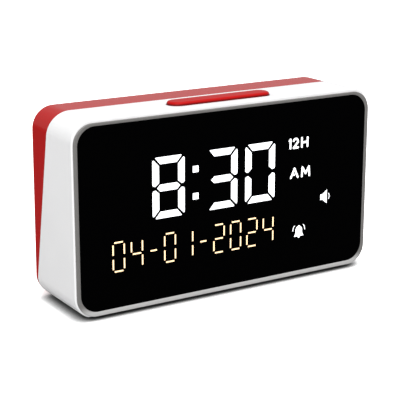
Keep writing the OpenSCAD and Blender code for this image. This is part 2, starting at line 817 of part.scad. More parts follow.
module rear_cover() {
    clamp_end = speaker_y - gasket_t - basket_flange_t;
    color("firebrick") place() difference() {
        union() {
            rear_shell();
            battery_bay();
            // Posts over the case bosses
            for (s = [-1, 1], z = case_boss_z)
                rod_y(s * case_boss_x, z, case_boss_r, boss_end(z) + fit, inner_y(z) + 1);
            // Speaker seat and its screw posts
            tube_y(speaker_x, speaker_z, speaker_r + 0.8, cone_r, speaker_y, inner_y(speaker_z) + 1);
            for (p = clamp_points) rod_y(p.x, p.y, 2.3, clamp_end, inner_y(p.y) + 1);
            // Posts of the button board
            for (x = post_xs) rod_y(x, button_z, post_r, button_board_y, inner_y(button_z) + 1);
            // Shelf of the power board
            translate([socket_x - power_board_w / 2, power_board_front + 1, power_board_z - 1.8])
                cube([power_board_w, inner_y(power_board_z) - power_board_front, 1.8]);
            for (s = [-1, 1]) translate([socket_x + s * power_screw_x, power_board_front + 3.4,
                power_board_z - 4.6])
                cylinder(r = 2.3, h = 4.6);
        }
        // Screw holes and their deep counterbores
        for (s = [-1, 1], z = case_boss_z) {
            rod_y(s * case_boss_x, z, case_screw_r + fit, boss_end(z), depth_bottom + 1);
            rod_y(s * case_boss_x, z, case_head_r + run, boss_end(z) + post_floor, depth_bottom + 1);
        }
        for (p = clamp_points)
            rod_y(p.x, p.y, small_r + thread_fit, clamp_end - e, clamp_end + small_len - clamp_t + 0.4);
        for (x = post_xs)
            rod_y(x, button_z, small_r + thread_fit, button_board_y - e,
                button_board_y + small_len - board_t + 0.6);
        for (s = [-1, 1]) translate([socket_x + s * power_screw_x, power_board_front + 3.4,
            power_board_z - 4])
            cylinder(r = small_r + thread_fit, h = 5);
        // Battery bay, door opening, hinge pin holes and finger notch
        along_y(bay_floor, depth_bottom + 1) door_opening(0);
        rod_x(hinge_y, hinge_z, pin_r + pin_run, bay_x - bay_len / 2 - pin_len - 0.1,
            bay_x + bay_len / 2 + pin_len + 0.1);
        rod_y(bay_x, bay_top + 2, 5, back_y(bay_top) - 1, depth_bottom + 1);
        grille_holes();
        // Button holes, slide slot and socket opening
        for (i = [0 : 4]) rod_y(button_x(i), button_z, button_r + run, button_board_y + 6,
            depth_bottom + 1);
        translate([slide_x + slide_travel / 2, 0, button_z]) along_y(button_board_y + 6, depth_bottom + 1)
            square([slide_w + slide_travel + 2 * run, slide_h + 2 * run], center = true);
        translate([socket_x, 0, socket_z]) along_y(inner_y(socket_z) - 1, depth_bottom + 1)
            stadium(socket_w + 0.8, socket_h + 0.8);
    }
}
clamp_angles = [90, 210, 330];
clamp_points = [for (a = clamp_angles) [speaker_x + clamp_ear_r * cos(a),
    speaker_z + clamp_ear_r * sin(a)]];
module housing_screws() {
    color("silver") place() for (s = [-1, 1], z = case_boss_z) {
        head_y = boss_end(z) + post_floor;
        rod_y(s * case_boss_x, z, case_screw_r, head_y - case_screw_len, head_y);
        difference() {
            rod_y(s * case_boss_x, z, case_head_r, head_y, head_y + case_head_h);
            for (a = [0, 90]) translate([s * case_boss_x, head_y + case_head_h - 0.5, z]) rotate([0, a, 0])
                cube([3, 1.1, 0.6], center = true);
        }
    }
}

module board_screws() {
    color("silver") place() {
        for (s = [-1, 1], z = display_screw_zs) translate([s * display_screw_x, board_back, z])
            rotate([90, 0, 0]) small_screw();
        for (s = [-1, 1]) translate([s * boss_x, snooze_y, snooze_board_z]) small_screw();
        for (x = post_xs) translate([x, button_board_y - board_t, button_z]) rotate([-90, 0, 0])
            small_screw();
        for (p = clamp_points) translate([p.x, speaker_y - gasket_t - basket_flange_t - clamp_t, p.y])
            rotate([-90, 0, 0]) small_screw();
        for (s = [-1, 1]) translate([socket_x + s * power_screw_x, power_board_front + 3.4,
            power_board_z + board_t])
            rotate([180, 0, 0]) small_screw();
    }
}

// ---- Rear controls ----

module button_board() {
    color("darkgreen") place() difference() {
        along_y(button_board_y - board_t, button_board_y)
            translate([button_board_left, button_z - button_board_h / 2])
                square([button_board_right - button_board_left, button_board_h]);
        for (x = post_xs) rod_y(x, button_z, small_r + fit, button_board_y - board_t - e,
            button_board_y + e);
    }
}

module on_button_board(x) {
    translate([x, button_board_y, button_z]) rotate([-90, 0, 0]) children();
}

module button_switches() {
    color([0.15, 0.15, 0.15]) place() for (i = [0 : 4]) on_button_board(button_x(i)) tact_switch();
}

module button_cap(i) {
    top_y = back_y(button_z) + button_proud;
    color("darkred") place() {
        rod_y(button_x(i), button_z, button_r, button_flange_y, top_y - 0.3);
        translate([button_x(i), top_y - 0.3 - e, button_z]) rotate([-90, 0, 0])
            cylinder(r1 = button_r, r2 = button_r - 0.3, h = 0.3 + e);
        rod_y(button_x(i), button_z, button_flange_r, button_flange_y, button_flange_y + 1);
        rod_y(button_x(i), button_z, 2, button_flange_y - button_stem, button_flange_y + e);
    }
}

module button_plunger(i) {
    color("ivory") place() on_button_board(button_x(i)) tact_plunger();
}

module mode_button() { button_cap(0); }
module set_button() { button_cap(1); }
module up_button() { button_cap(2); }
module down_button() { button_cap(3); }
module alarm_button() { button_cap(4); }
module mode_plunger() { button_plunger(0); }
module set_plunger() { button_plunger(1); }
module up_plunger() { button_plunger(2); }
module down_plunger() { button_plunger(3); }
module alarm_plunger() { button_plunger(4); }

module slide_switch() {
    color("silver") place() difference() {
        translate([slide_x + slide_travel / 2, 0, button_z])
            along_y(button_board_y, button_board_y + switch_h)
            square([slide_body_w, slide_body_h], center = true);
        translate([slide_x + slide_travel / 2, 0, button_z])
            along_y(button_board_y + 1.2, button_board_y + switch_h + 1)
            square([slide_lever_w + slide_travel + 2 * run, slide_lever_w + 2 * run], center = true);
    }
}

module slide_knob() {
    shoulder_y = inner_y(button_z + slide_h) - run;
    top_y = back_y(button_z) + button_proud;
    color("darkred") place() translate([slide_x, 0, button_z]) {
        along_y(button_board_y + 1.5, shoulder_y - 1 + e) square(slide_lever_w, center = true);
        along_y(shoulder_y - 1, shoulder_y) square([slide_w + 2 * slide_rim, slide_h + 2], center = true);
        difference() {
            along_y(shoulder_y - e, top_y) square([slide_w, slide_h], center = true);
            for (k = [-1 : 1]) translate([k * 1.3 - 0.25, top_y - 0.3, -slide_h])
                cube([0.5, 1, 2 * slide_h]);
        }
    }
}

// ---- Speaker ----

module speaker_gasket() {
    color([0.12, 0.12, 0.12]) place()
        tube_y(speaker_x, speaker_z, speaker_r, cone_r + 1, basket_y, speaker_y);
}

module speaker_basket() {
    rim_y = basket_y - basket_flange_t;
    color("dimgray") place() translate([speaker_x, 0, speaker_z]) rotate([-90, 0, 0]) difference() {
        union() {
            translate([0, 0, rim_y]) cylinder(r = speaker_r, h = basket_flange_t);
            translate([0, 0, rim_y - 4]) cylinder(r1 = magnet_r + 0.5, r2 = cone_r + 1, h = 4 + e);
        }
        translate([0, 0, rim_y - 3.2])
            cylinder(r1 = magnet_r - 0.5, r2 = cone_r - 0.1, h = 3.2 + basket_flange_t + e);
        translate([0, 0, rim_y + 0.5]) cylinder(r = cone_r + 0.7, h = basket_flange_t);
        translate([0, 0, rim_y - 5]) cylinder(r = magnet_r - 2, h = 3);
        for (a = [0 : 60 : 300]) rotate([0, 0, a]) translate([magnet_r + 1.6, 0, rim_y - 5])
            cylinder(r = 1, h = 4);
    }
}

module speaker_cone() {
    rim_y = basket_y - basket_flange_t;
    color([0.25, 0.22, 0.2]) place() translate([speaker_x, rim_y, speaker_z]) rotate([-90, 0, 0])
        rotate_extrude()
        polygon([
            [0, -0.6], [2.5, -1.6], [3, -1.9], [cone_r - 1.5, 0.6], [cone_r - 0.9, 0.9], [cone_r + 0.6,
                0.9],
            [cone_r + 0.6, 0.5], [cone_r - 0.8, 0.5], [cone_r - 1.3, 0.2], [3, -2.4], [2.5, -2.1], [0, -1]
        ]);
}

module speaker_magnet() {
    front_y = basket_y - basket_flange_t - 4;
    color("silver") place() {
        rod_y(speaker_x, speaker_z, magnet_r, front_y - 3.2, front_y);
        rod_y(speaker_x, speaker_z, magnet_r - 1, front_y - 4, front_y - 3.2 + e);
        rod_y(speaker_x, speaker_z, magnet_r - 2.4, front_y - e, front_y + 1);
    }
}

module speaker_clamp() {
    back = basket_y - basket_flange_t;
    color("silver") place() difference() {
        union() {
            rod_y(speaker_x, speaker_z, speaker_r, back - clamp_t, back);
            for (p = clamp_points) rod_y(p.x, p.y, 2.3, back - clamp_t, back);
            for (a = clamp_angles) along_y(back - clamp_t, back) translate([speaker_x, speaker_z]) rotate(a)
                translate([cone_r + 2, -1.8]) square([clamp_ear_r - cone_r - 2, 3.6]);
        }
        rod_y(speaker_x, speaker_z, cone_r + 1.5, back - clamp_t - e, back + e);
        for (p = clamp_points) rod_y(p.x, p.y, small_r + fit, back - clamp_t - e, back + e);
    }
}

// ---- Batteries ----

module battery_door() {
    half = bay_len / 2 - door_gap;
    color("firebrick") place() difference() {
        union() {
            intersection() {
                lean_block(cover_inset, depth_bottom - door_t, depth_top - door_t, depth_bottom, depth_top);
                along_y(0, far) translate([bay_x - half, hinge_z])
                    square([2 * half, bay_top - door_gap - hinge_z]);
            }
            rod_x(hinge_y, hinge_z, hinge_r, bay_x - half, bay_x + half);
            rod_x(hinge_y, hinge_z, pin_r, bay_x - half - pin_len, bay_x + half + pin_len);
        }
        // The spring tongue's two slits and its ribs
        for (s = [-1, 1]) translate([bay_x + s * 5 - 0.4, depth_top - 6, bay_top - 7])
            cube([0.8, 12, 7 - door_gap + 1]);
        for (k = [0 : 2]) translate([bay_x - 3.5, back_y(bay_top - 4) - 0.35, bay_top - 5.6 + k * 1.5])
            cube([7, 2, 0.6]);
    }
}

// The upper cell points to +X and the lower one to -X, each with its spring behind it
cell_ways = [-1, 1];

module at_cell(k) {
    translate([bay_x, cell_y, cell_zs[k]]) rotate([0, cell_ways[k] * 90, 0]) children();
}

module battery(k) {
    color("goldenrod") place() at_cell(k) translate([0, 0, (contact_len - cell_len) / 2]) {
        cylinder(r = cell_r, h = cell_len - 1);
        translate([0, 0, cell_len - 1 - e]) cylinder(r = 1.9, h = 1 + e);
    }
}

module battery_upper() { battery(1); }
module battery_lower() { battery(0); }

module battery_springs() {
    color("silver") place() for (k = [0, 1]) at_cell(k)
        translate([0, 0, -(contact_len + cell_len) / 2 + touch])
        helix(2.6, 0.35, contact_len - 2 * touch, 4);
}

module battery_plates() {
    color("silver") place() for (k = [0, 1], s = [-1, 1]) at_cell(k)
        translate([0, 0, s * (bay_len - plate_t) / 2]) cube([8, 8, plate_t], center = true);
}

// ---- Power input ----

module power_board() {
    color("darkgreen") place() difference() {
        translate([socket_x - power_board_w / 2, power_board_front, power_board_z])
            cube([power_board_w, power_board_back - power_board_front, board_t]);
        for (s = [-1, 1]) translate([socket_x + s * power_screw_x, power_board_front + 3.4,
            power_board_z - e])
            cylinder(r = small_r + fit, h = board_t + 2 * e);
    }
}

module power_socket() {
    mouth = back_y(socket_z) - socket_recess;
    color("silver") place() translate([socket_x, 0, socket_z]) difference() {
        along_y(mouth - socket_len, mouth) stadium(socket_w, socket_h);
        along_y(mouth - socket_len + 0.8, mouth + e) stadium(socket_w - 0.6, socket_h - 0.6);
    }
}

module socket_tongue() {
    mouth = back_y(socket_z) - socket_recess;
    color([0.1, 0.1, 0.1]) place() translate([socket_x, 0, socket_z])
        along_y(mouth - socket_len + 0.8, mouth - 0.8) square([6.6, 0.7], center = true);
}

// ---- Cables held inside ----

module ribbon_sockets() {
    color("ivory") place() for (p = [[board_back, ribbon_z0],
        [button_board_y - board_t - ribbon_socket_d, ribbon_z1]])
        along_y(p[0], p[0] + ribbon_socket_d) translate([button_x0, p[1]])
            square([ribbon_w + 2, 3.4], center = true);
}

module ribbon_cable() {
    y0 = board_back + ribbon_socket_d;
    y1 = button_board_y - board_t - ribbon_socket_d;
    r = (ribbon_z1 - ribbon_z0) / 2;
    mid = (y0 + y1) / 2;
    color("lightgray") place() along_x(button_x0 - ribbon_w / 2, button_x0 + ribbon_w / 2) {
        translate([y0, ribbon_z0 - ribbon_t / 2]) square([mid - r - y0 + e, ribbon_t]);
        translate([mid + r - e, ribbon_z1 - ribbon_t / 2]) square([y1 - mid - r + e, ribbon_t]);
        for (s = [-1, 1]) translate([mid + s * r, (ribbon_z0 + ribbon_z1) / 2]) intersection() {
            difference() {
                circle(r + ribbon_t / 2);
                circle(r - ribbon_t / 2);
            }
            translate([s > 0 ? -2 * r : 0, s > 0 ? 0 : -2 * r]) square(2 * r);
        }
    }
}

module wire_pair(p, q, reach, spread) {
    for (s = [-1, 1]) wire(p + [s * spread, 0, 0], q + [s * spread, 0, 0], reach, -reach);
}

module speaker_wires() {
    color("crimson") place()
        wire_pair([speaker_x - 8, board_back, 48], [speaker_x, basket_y - basket_flange_t - 8, speaker_z],
            8, 1.5);
}

module battery_wires() {
    color("black") place()
        wire_pair([-20, board_back, 12.5], [bay_x, bay_floor - bay_wall, (bay_bottom + bay_top) / 2], 7,
            1.5);
}

module power_wires() {
    color("crimson") place()
        wire_pair([socket_x, board_back, 20], [socket_x, power_board_front, power_board_z + board_t / 2],
            6, 2);
}

module snooze_wires() {
    board_edge = snooze_y + snooze_w / 2 + flange_over;
    color("black") place() for (s = [-1, 1])
        wire([boss_x - 8 + s, board_back, reflector_top - 5], [boss_x - 8 + s, board_edge,
            snooze_board_z + board_t / 2], 9, 5);
}

front_housing();
bezel_ring();
display_window();
time_segments();
date_segments();
status_icons();
diffuser_sheet();
reflector_frame();
display_board();
led_chips();
clock_chip();
quartz_crystal();
board_capacitors();
rear_cover();
housing_screws();
board_screws();
rubber_feet();
snooze_bar();
snooze_springs();
snooze_board();
snooze_switch();
snooze_plunger();
button_board();
button_switches();
mode_button();
mode_plunger();
set_button();
set_plunger();
up_button();
up_plunger();
down_button();
down_plunger();
alarm_button();
alarm_plunger();
slide_switch();
slide_knob();
speaker_basket();
speaker_cone();
speaker_magnet();
speaker_gasket();
speaker_clamp();
battery_door();
battery_upper();
battery_lower();
battery_springs();
battery_plates();
power_board();
power_socket();
socket_tongue();
ribbon_sockets();
ribbon_cable();
speaker_wires();
battery_wires();
power_wires();
snooze_wires();
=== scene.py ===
# %% [markdown]
# # A bedside alarm clock
# The clock was drawn first as a CAD model: every moulding, board, spring and screw at its real size. This
# lesson dresses that model for a picture. The shapes that people see get their rounded edges, every piece
# gets its finish, and a small studio is set up around the clock.
#
# The first cell loads the CAD pieces. They arrive in metres, each in its place, and they are never moved.

# %% Load the CAD pieces
import json
import math

import bmesh
import bpy
from mathutils import Matrix, Vector

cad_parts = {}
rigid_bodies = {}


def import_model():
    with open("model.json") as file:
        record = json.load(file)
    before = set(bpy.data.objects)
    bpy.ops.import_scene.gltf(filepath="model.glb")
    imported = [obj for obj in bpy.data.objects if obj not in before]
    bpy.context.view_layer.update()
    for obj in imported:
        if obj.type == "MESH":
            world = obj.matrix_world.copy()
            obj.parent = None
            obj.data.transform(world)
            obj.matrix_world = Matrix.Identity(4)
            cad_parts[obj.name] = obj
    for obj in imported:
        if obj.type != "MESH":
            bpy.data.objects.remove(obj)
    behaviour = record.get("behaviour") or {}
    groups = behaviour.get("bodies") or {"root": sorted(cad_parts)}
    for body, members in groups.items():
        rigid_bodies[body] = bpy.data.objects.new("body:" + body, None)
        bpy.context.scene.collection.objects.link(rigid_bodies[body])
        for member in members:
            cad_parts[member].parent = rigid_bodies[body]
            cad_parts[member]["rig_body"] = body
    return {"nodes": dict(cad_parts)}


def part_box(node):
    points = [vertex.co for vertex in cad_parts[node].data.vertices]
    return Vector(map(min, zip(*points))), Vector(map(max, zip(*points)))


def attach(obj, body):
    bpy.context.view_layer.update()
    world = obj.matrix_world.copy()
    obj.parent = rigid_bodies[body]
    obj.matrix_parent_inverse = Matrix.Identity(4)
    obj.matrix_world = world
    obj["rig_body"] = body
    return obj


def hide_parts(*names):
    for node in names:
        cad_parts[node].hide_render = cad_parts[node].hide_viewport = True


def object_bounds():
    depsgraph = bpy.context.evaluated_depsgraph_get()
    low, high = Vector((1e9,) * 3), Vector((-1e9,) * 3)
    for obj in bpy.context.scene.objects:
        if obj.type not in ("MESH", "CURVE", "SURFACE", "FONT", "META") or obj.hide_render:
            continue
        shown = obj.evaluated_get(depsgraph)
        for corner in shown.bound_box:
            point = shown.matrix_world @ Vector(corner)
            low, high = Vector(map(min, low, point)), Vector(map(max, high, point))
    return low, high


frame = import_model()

MM = 0.001
cad_low, cad_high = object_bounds()
cad_nodes = frame["nodes"]
print(f"{len(cad_nodes)} CAD pieces, {cad_high.x - cad_low.x:.4f} m wide")

# %% [markdown]
# ## The camera
# A product picture of a long box is taken from a little above and from one side, with a long lens, so
# that its edges stay almost parallel. The lens here is about as long as a portrait lens on a small
# camera. The camera's three axes are written out from the two angles that it is turned by, which leaves
# nothing to guess.

# %% Camera
TURN = math.radians(31.84)        # to the clock's right, away from straight ahead
TILT = math.radians(15.32)        # down
CAMERA_PLACE = Vector((-286.26, -455.8, 185.24)) * MM
camera = bpy.data.objects.new("camera", bpy.data.cameras.new("camera"))
bpy.context.scene.collection.objects.link(camera)
camera.data.lens = 112.0
camera.data.sensor_width = 36.0
camera.data.clip_start = 0.01
ahead = Vector((math.sin(TURN) * math.cos(TILT), math.cos(TURN) * math.cos(TILT), -math.sin(TILT)))
across = Vector((math.cos(TURN), -math.sin(TURN), 0))
above = across.cross(ahead)
axes = Matrix((across, above, -ahead)).transposed().to_4x4()
camera.matrix_world = Matrix.Translation(CAMERA_PLACE) @ axes
bpy.context.scene.camera = camera
print("camera stands", round(camera.location.length, 3), "m from the clock")

# %% [markdown]
# ## The studio
# The clock stands on a plain white sheet in soft light from all round. Two things make such pictures look
# clean. The sheet is exposed brighter than the product, so that only the shade right under the clock is
# left of its shadow, and a painted contact shadow deepens that shade. And one soft box, in front and to
# the left, is stronger than the other, so that surfaces which face different ways still differ in brightness.
#
# A Light Path node tells a ray that comes from the camera from one that lights the scene. Both the sheet
# and the room use it: the camera sees them bright, while the light that they give to the clock stays
# moderate.

# %% The white sheet
bpy.context.scene.view_settings.view_transform = "Standard"


def new_material(name):
    """A material with empty nodes, and its tree, ready to be wired."""
    material = bpy.data.materials.new(name)
    material.use_nodes = True
    material.node_tree.nodes.clear()
    return material, material.node_tree


SHEET_SEEN = 1.9       # how bright the camera sees the sheet
SHEET_LIGHT = 0.72     # how much light it really throws back
SHEET_MIRRORED = 0.12  # how bright glossy surfaces see it
sheet_paint, tree = new_material("white_sheet")
output = tree.nodes.new("ShaderNodeOutputMaterial")
matt = tree.nodes.new("ShaderNodeBsdfDiffuse")
ray = tree.nodes.new("ShaderNodeLightPath")
level = None
for test, amount in (("Is Glossy Ray", SHEET_MIRRORED), ("Is Camera Ray", SHEET_SEEN)):
    choice = tree.nodes.new("ShaderNodeMix")
    choice.data_type = "RGBA"
    choice.inputs["A"].default_value = (SHEET_LIGHT, SHEET_LIGHT, SHEET_LIGHT, 1)
    choice.inputs["B"].default_value = (amount, amount, amount, 1)
    tree.links.new(ray.outputs[test], choice.inputs["Factor"])
    if level:
        tree.links.new(level.outputs["Result"], choice.inputs["A"])
    level = choice
# Painted contact shadow: an Ambient Occlusion node darkens the sheet's colour where the clock nearly touches
# it.
corner = tree.nodes.new("ShaderNodeAmbientOcclusion")      # dark where the clock nearly touches the sheet
corner.inputs["Distance"].default_value = 0.007
corner.samples = 8
deepen = tree.nodes.new("ShaderNodeMath")
deepen.operation = "POWER"
deepen.inputs[1].default_value = 1.3
floor_with_painted_shadow = tree.nodes.new("ShaderNodeVectorMath")
floor_with_painted_shadow.operation = "SCALE"
tree.links.new(corner.outputs["AO"], deepen.inputs[0])
tree.links.new(level.outputs["Result"], floor_with_painted_shadow.inputs[0])
tree.links.new(deepen.outputs["Value"], floor_with_painted_shadow.inputs["Scale"])
tree.links.new(floor_with_painted_shadow.outputs["Vector"], matt.inputs["Color"])
tree.links.new(matt.outputs["BSDF"], output.inputs["Surface"])

sheet_mesh = bpy.data.meshes.new("white_sheet")
reach = 4.0
sheet_mesh.from_pydata([(-reach, -reach, 0), (reach, -reach, 0), (reach, reach, 0), (-reach, reach, 0)], [],
                       [(0, 1, 2, 3)])
sheet = bpy.data.objects.new("white_sheet", sheet_mesh)
sheet_mesh.materials.append(sheet_paint)
bpy.context.scene.collection.objects.link(sheet)
print("the sheet is", 2 * reach, "m wide")

# %% The room's light
ROOM_LEVEL = 0.7       # strength of the room's light from the horizon down
ROOM_OVERHEAD = 0.77   # and straight overhead
room = bpy.data.worlds.new("studio")
bpy.context.scene.world = room
room.use_nodes = True
tree = room.node_tree
tree.nodes.clear()
output = tree.nodes.new("ShaderNodeOutputWorld")
seen = tree.nodes.new("ShaderNodeBackground")
seen.inputs["Color"].default_value = (1, 1, 1, 1)
lighting = tree.nodes.new("ShaderNodeBackground")
switch = tree.nodes.new("ShaderNodeMixShader")
ray = tree.nodes.new("ShaderNodeLightPath")
where = tree.nodes.new("ShaderNodeTexCoord")
split = tree.nodes.new("ShaderNodeSeparateXYZ")
height = tree.nodes.new("ShaderNodeMapRange")
height.inputs["To Min"].default_value = ROOM_LEVEL
height.inputs["To Max"].default_value = ROOM_OVERHEAD
tree.links.new(where.outputs["Generated"], split.inputs["Vector"])
tree.links.new(split.outputs["Z"], height.inputs["Value"])
tree.links.new(height.outputs["Result"], lighting.inputs["Strength"])
tree.links.new(ray.outputs["Is Camera Ray"], switch.inputs["Fac"])
tree.links.new(lighting.outputs["Background"], switch.inputs[1])
tree.links.new(seen.outputs["Background"], switch.inputs[2])
tree.links.new(switch.outputs["Shader"], output.inputs["Surface"])


def soft_box(name, place, size, power):
    """A square area light that looks at the clock."""
    light = bpy.data.lights.new(name, "AREA")
    light.size, light.energy = size, power
    box = bpy.data.objects.new(name, light)
    box.location = place
    box.rotation_euler = (Vector((0, 0, 0.04)) - Vector(place)).to_track_quat("-Z", "Y").to_euler()
    bpy.context.scene.collection.objects.link(box)
    return box


soft_box("overhead_box", (0.1, -0.1, 1.0), 0.8, 3.5)
soft_box("key_box", (-0.45, -0.8, 0.75), 0.6, 8.5)
print("two soft boxes and a room that brightens upwards")

# %% [markdown]
# ## Helpers for the shapes
# CAD edges are perfectly sharp and moulded ones never are: molten plastic can't fill a sharp corner, and
# a worn tool rounds it further. A rounded edge also catches a thin line of light, which is what makes a
# picture of plastic look real.
#
# The edges could be rounded by hand in Edit Mode, edge loop by edge loop. Here a copy of the CAD piece
# gets a Bevel modifier instead, and each edge carries its own radius as a weight. First the copy is
# cleaned: the CAD mesh is made of loose triangles, so points that coincide are joined and flat triangles
# are dissolved into whole faces.

# %% Round a copy of a CAD piece
SHARP = math.radians(28)


def show(mesh, name, body):
    """Links a mesh as a new piece that moves with a body of the clock."""
    piece = bpy.data.objects.new(name, mesh)
    bpy.context.scene.collection.objects.link(piece)
    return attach(piece, body)


def smooth(mesh):
    """Smooth shading, with a break wherever two faces meet at a real angle."""
    mesh.polygons.foreach_set("use_smooth", [True] * len(mesh.polygons))
    mesh.set_sharp_from_angle(angle=SHARP)


def rounded_copy(node, radius_of, steps=3):
    """A cleaned copy of a CAD piece that takes its place.

    radius_of(edge) gives each sharp edge its radius.
    """
    source = cad_nodes[node]
    shape = bmesh.new()
    shape.from_mesh(source.data)
    bmesh.ops.remove_doubles(shape, verts=shape.verts, dist=2e-6)
    bmesh.ops.dissolve_limit(shape, angle_limit=math.radians(0.4), verts=shape.verts, edges=shape.edges)
    shape.normal_update()
    weight = shape.edges.layers.float.new("bevel_weight_edge")
    shape.edges.ensure_lookup_table()
    radii = {}
    for edge in shape.edges:
        if len(edge.link_faces) == 2 and edge.calc_face_angle(0) > SHARP:
            radii[edge.index] = radius_of(edge)
    largest = max(max(radii.values(), default=0), 0.001 * MM)
    for index, radius in radii.items():
        shape.edges[index][weight] = radius / largest
    mesh = bpy.data.meshes.new(node + "_moulded")
    shape.to_mesh(mesh)
    shape.free()
    smooth(mesh)
    piece = show(mesh, node + "_moulded", source["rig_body"])
    bevel = piece.modifiers.new("rounded_edges", "BEVEL")
    bevel.limit_method = "WEIGHT"
    bevel.width = largest
    bevel.segments = steps
    bevel.use_clamp_overlap = False
    bevel.harden_normals = True
    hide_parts(node)
    print(f"{piece.name}: {sum(r > 0 for r in radii.values())} edges rounded, up to {largest / MM:.2f} mm")
    return piece


# %% [markdown]
# Some pieces are easier to build as a stack of outlines, one behind the other, with a skin drawn over
# them. The bezel is one: its outlines are rounded rectangles that grow and shrink along its section.

# %% A skin over a stack of outlines
def rounded_rectangle(left, right, bottom, top, radius, y, points=14):
    """Points round a rounded rectangle that faces forward, in metres."""
    ring = []
    corners = ((right, top, 0), (left, top, 1), (left, bottom, 2), (right, bottom, 3))
    for x, z, quarter in corners:
        centre_x = x - math.copysign(radius, x)
        centre_z = z - radius if z == top else z + radius
        for k in range(points + 1):
            angle = math.pi / 2 * (quarter + k / points)
            ring.append((centre_x + radius * math.cos(angle), y, centre_z + radius * math.sin(angle)))
    return ring


def skin(name, rings):
    """A closed tube through the rings, the last joined to the first."""
    count = len(rings[0])
    points = [p for ring in rings for p in ring]
    faces = []
    for i in range(len(rings)):
        j = (i + 1) % len(rings)
        for k in range(count):
            m = (k + 1) % count
            faces.append((i * count + k, i * count + m, j * count + m, j * count + k))
    mesh = bpy.data.meshes.new(name)
    mesh.from_pydata(points, [], faces)
    shape = bmesh.new()
    shape.from_mesh(mesh)
    bmesh.ops.recalc_face_normals(shape, faces=shape.faces)
    shape.to_mesh(mesh)
    shape.free()
    smooth(mesh)
    return mesh


# %% [markdown]
# ## The white sleeve
# The sleeve is one white moulding, open at both ends, with a slot for the push bar. Its front edge is
# rounded so that it rolls over to the bezel, and its leaning rear edge only loses its sharpness.

# %% The white sleeve
sleeve_low, sleeve_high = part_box("front_housing")
middle_z = (sleeve_low.z + sleeve_high.z) / 2
SLEEVE_FRONT_R = 0.65 * MM
SLEEVE_REAR_R = 0.2 * MM
CORNER_DEPTH = 0.0045        # an edge this near to a wall may lie on a rounded corner


def middle(edge):
    """The point halfway along an edge."""
    return (edge.verts[0].co + edge.verts[1].co) / 2


def on_skin(edge, low, high, depth=0.0004):
    """Does this edge lie on the outside of the box's four long walls?"""
    at = middle(edge)
    outer = Vector((at.x, 0, at.z - middle_z))
    for face in edge.link_faces:
        if abs(face.normal.y) < 0.5 and face.normal.dot(outer) > 0:
            near_side = high.x - abs(at.x) < depth or at.z - low.z < depth or high.z - at.z < depth
            corner = min(high.x - abs(at.x), at.z - low.z, high.z - at.z) < CORNER_DEPTH
            if near_side or corner:
                return True
    return False


def sleeve_radius(edge):
    at = middle(edge)
    if not on_skin(edge, sleeve_low, sleeve_high):
        return 0
    if at.y - sleeve_low.y < 1e-5:
        return SLEEVE_FRONT_R
    return SLEEVE_REAR_R


sleeve = rounded_copy("front_housing", sleeve_radius)

# %% [markdown]
# ## The bezel
# The grey bezel is a frame round the window. Its face slopes a little towards the window, like a picture
# frame, so its lower bar looks up into the light and its upper bar looks down. The slope makes the lower
# bar a little lighter, and light painted into its colour, further on, makes it lighter still. The frame is
# a stack of outlines round its section: over the outer edge, down the slope, into the window's recess,
# round the ledge that holds the window, and back along the spigot.

# %% The bezel
bezel_low, bezel_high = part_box("bezel_ring")
window_low, window_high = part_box("display_window")
window_gap = 0.075 * MM
side_w = window_low.x - window_gap - bezel_low.x          # widths of the four bars
foot_w = window_low.z - window_gap - bezel_low.z
head_w = bezel_high.z - window_high.z - window_gap
BEZEL_R = 8.8 * MM
WINDOW_R = 8.0 * MM
LEDGE_W = 2.5 * MM           # how far the ledge behind the window reaches in
LEDGE_R = WINDOW_R - 1.25 * MM
LIP_W = 0.12 * MM            # how far the slope stops short of the window's edge
SPIGOT_IN = 2.35 * MM        # from the sleeve's outside to the spigot
SPIGOT_R = 7.45 * MM
front_y = bezel_low.y


def frame_outline(share, y, radius, extra=0.0):
    """An outline of the frame, set in by extra: share 0 is its outer edge, share 1 the window's edge."""
    return rounded_rectangle(bezel_low.x + share * side_w + extra, bezel_high.x - share * side_w - extra,
                             bezel_low.z + share * foot_w + extra,
                             bezel_high.z - share * head_w - extra, radius, y)


edge_r = 0.16 * MM
back_y = front_y + 1.0 * MM
lip_y = window_low.y - 0.05 * MM
rings = [frame_outline(0, back_y, BEZEL_R)]
for k in range(5):
    angle = math.pi / 2 * k / 4
    inward = edge_r * (1 - math.cos(angle))
    rings.append(frame_outline(0, front_y + edge_r * (1 - math.sin(angle)), BEZEL_R, inward))
rings.append(frame_outline(1, lip_y - 0.05 * MM, WINDOW_R, -LIP_W))
rings.append(frame_outline(1, lip_y + 0.02 * MM, WINDOW_R))
rings.append(frame_outline(1, window_high.y, WINDOW_R))
rings.append(frame_outline(1, window_high.y, LEDGE_R, LEDGE_W))
rings.append(frame_outline(1, bezel_high.y, LEDGE_R, LEDGE_W))
for y in (bezel_high.y, back_y):
    rings.append(rounded_rectangle(sleeve_low.x + SPIGOT_IN, sleeve_high.x - SPIGOT_IN,
                                   sleeve_low.z + SPIGOT_IN, sleeve_high.z - SPIGOT_IN, SPIGOT_R, y))
bezel = show(skin("bezel_frame", rings), "bezel_frame", "case")
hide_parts("bezel_ring")
print(f"bezel bars: {side_w / MM:.2f} mm at the sides, {foot_w / MM:.2f} below, {head_w / MM:.2f} above")

# %% [markdown]
# ## The red cover and the battery door
# The red moulding closes the clock from behind. Its rear edge has a generous radius, which is what a hand
# feels when it lifts the clock. The many holes in its back only have their edges broken.

# %% The red cover
cover_low, cover_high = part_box("rear_cover")
BACK_TOP = 39.1              # the case's depth at its top, in millimetres, as in the CAD model
BACK_BOTTOM = 40.6           # and at its bottom
CASE_H = 84.4                # the case's height without its feet
ON_BACK = 0.02 * MM          # an edge this near the rear face belongs to it
COVER_REAR_R = 1.2 * MM
HOLE_EDGE_R = 0.16 * MM
DOOR_EDGE_R = 0.3 * MM


